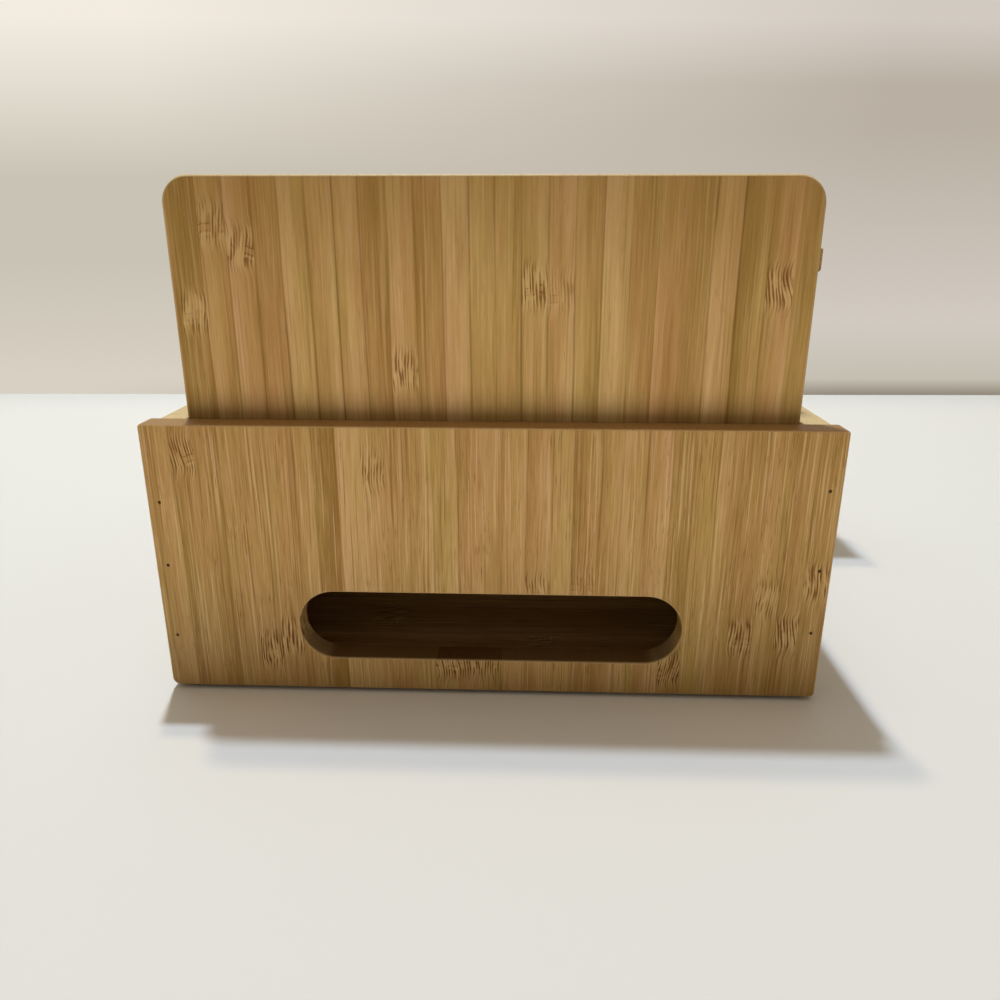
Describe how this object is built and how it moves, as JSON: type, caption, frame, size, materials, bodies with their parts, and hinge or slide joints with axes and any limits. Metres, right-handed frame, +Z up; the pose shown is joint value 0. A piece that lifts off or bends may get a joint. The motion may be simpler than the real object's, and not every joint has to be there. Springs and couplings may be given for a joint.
{
  "type": "charging station organizer",
  "caption": "Bamboo charging station: nailed box with a cable slot, lift-off deck, tall backboard, device dividers and a watch stand.",
  "frame": {"origin": "Bottom centre of the whole object's box, watch arm included, on the desk that its foot pads stand on. The nailed box's own centre line lies 20.75 mm towards +X from it.", "axes": "+Z up; -Y is the front, where the user sits; +Y is the back panel with the cable slot; +X is the user's right, and the watch arm reaches out to -X."},
  "size_m": [0.2916, 0.22, 0.1895],
  "materials": {
    "bamboo_panels": "satin lacquer",
    "bamboo_boards": "satin lacquer",
    "bamboo_inner": "sanded",
    "dowel_wood": "fluted",
    "brad_steel": "dull",
    "screw_steel": "zinc",
    "foot_rubber": "matte"
  },
  "bodies": {
    "box": {"back_panel": "bamboo_panels", "front_panel": "bamboo_panels", "left_side_panel": "bamboo_panels", "right_side_panel": "bamboo_panels", "bottom_board": "bamboo_inner", "left_cleat": "bamboo_inner", "right_cleat": "bamboo_inner", "front_cleat": "bamboo_inner", "back_cleat": "bamboo_inner", "foot_pads": "foot_rubber", "back_brads": "brad_steel", "front_brads": "brad_steel", "bottom_brads": "brad_steel", "cleat_brads": "brad_steel"},
    "deck": {"deck": "bamboo_inner", "backboard": "bamboo_boards", "backboard_screws": "screw_steel"},
    "rear_divider": {"rear_divider": "bamboo_boards"},
    "middle_divider": {"middle_divider": "bamboo_boards"},
    "front_divider": {"front_divider": "bamboo_boards"},
    "watch_stand": {"watch_post": "bamboo_boards", "watch_arm": "bamboo_boards", "watch_arm_dowels": "dowel_wood"}
  },
  "joints": [
    {"name": "deck_lift", "type": "slide", "parent": "box", "child": "deck", "axis": [0, 0, 1], "range_m": [0, 0.04]},
    {"name": "rear_divider_lift", "type": "slide", "parent": "deck", "child": "rear_divider", "axis": [0, 0, 1], "range_m": [0, 0.12]},
    {"name": "middle_divider_lift", "type": "slide", "parent": "deck", "child": "middle_divider", "axis": [0, 0, 1], "range_m": [0, 0.12]},
    {"name": "front_divider_lift", "type": "slide", "parent": "deck", "child": "front_divider", "axis": [0, 0, 1], "range_m": [0, 0.12]},
    {"name": "watch_stand_lift", "type": "slide", "parent": "deck", "child": "watch_stand", "axis": [0, 0, 1], "range_m": [0, 0.12]}
  ]
}
